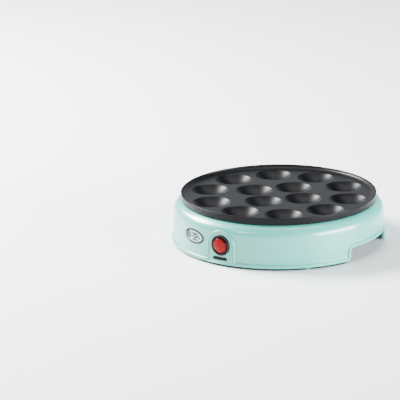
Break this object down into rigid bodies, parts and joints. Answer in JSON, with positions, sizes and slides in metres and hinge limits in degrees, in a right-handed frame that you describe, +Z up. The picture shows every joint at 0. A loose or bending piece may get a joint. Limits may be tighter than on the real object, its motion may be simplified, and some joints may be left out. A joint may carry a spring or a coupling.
{
  "type": "small pancake maker",
  "caption": "Round electric maker for small pancakes: a dimpled non-stick plate with a raised rim on a low mint plastic housing with a red rocker switch and hand notches.",
  "frame": {"origin": "middle of the footprint, on the table under the rubber feet", "axes": "+Z up out of the cooking plate, -Y towards the rocker switch, +Y towards the cord gland, +X to the right when the switch faces the viewer"},
  "size_m": [0.2496, 0.2576, 0.059],
  "materials": {
    "non_stick": "dark satin non-stick coating on cast aluminium",
    "mint_plastic": "glossy pale mint green",
    "black_plastic": "black",
    "rubber": "dark grey, matt",
    "red_lens": "clear red, polished",
    "steel": "zinc plated",
    "tube_steel": "heat darkened",
    "brass": "plain",
    "ceramic": "off-white",
    "badge_metal": "satin",
    "wire_line": "brown sheath",
    "wire_load": "black sheath",
    "wire_neutral": "blue sheath",
    "wire_earth": "green and yellow sheath"
  },
  "bodies": {
    "maker": {"cooking_plate": "non_stick", "body_shell": "mint_plastic", "base_cover": "black_plastic", "badge": "badge_metal", "foot_1": "rubber", "foot_2": "rubber", "foot_3": "rubber", "foot_4": "rubber", "base_screw_1": "steel", "base_screw_2": "steel", "base_screw_3": "steel", "base_screw_4": "steel", "heating_element": "tube_steel", "element_clamp": "steel", "heat_shield": "steel", "thermostat": "steel", "plate_screw_1": "steel", "heat_washer_1": "ceramic", "clamp_screw_1": "steel", "plate_screw_2": "steel", "heat_washer_2": "ceramic", "clamp_screw_2": "steel", "plate_screw_3": "steel", "heat_washer_3": "ceramic", "clamp_screw_3": "steel", "plate_screw_4": "steel", "heat_washer_4": "ceramic", "clamp_screw_4": "steel", "thermostat_screw_1": "steel", "thermostat_screw_2": "steel", "wire_line": "wire_line", "wire_load": "wire_load", "wire_neutral": "wire_neutral", "wire_earth": "wire_earth", "fuse_sleeve": "ceramic", "terminal_block": "ceramic", "cord_gland": "black_plastic", "cord_clamp": "black_plastic", "block_screw": "steel", "cord_screw_1": "steel", "cord_screw_2": "steel", "switch_housing": "black_plastic", "terminal_line": "brass", "terminal_load": "brass", "terminal_lamp": "brass"},
    "rocker": {"switch_rocker": "red_lens", "switch_plunger": "brass"},
    "blade": {"switch_blade": "brass"}
  },
  "joints": [
    {"name": "rocker_tilt", "type": "hinge", "parent": "maker", "child": "rocker", "pos_m": [0, -0.12396, 0.0246], "axis": [-1, 0, 0], "range_deg": [0, 18]},
    {"name": "blade_tilt", "type": "hinge", "parent": "maker", "child": "blade", "pos_m": [0, -0.11536, 0.0246], "axis": [1, 0, 0], "range_deg": [0, 12]}
  ],
  "couplings": [
    {"joint": "blade_tilt", "follows": "rocker_tilt", "ratio": 0.6666}
  ]
}
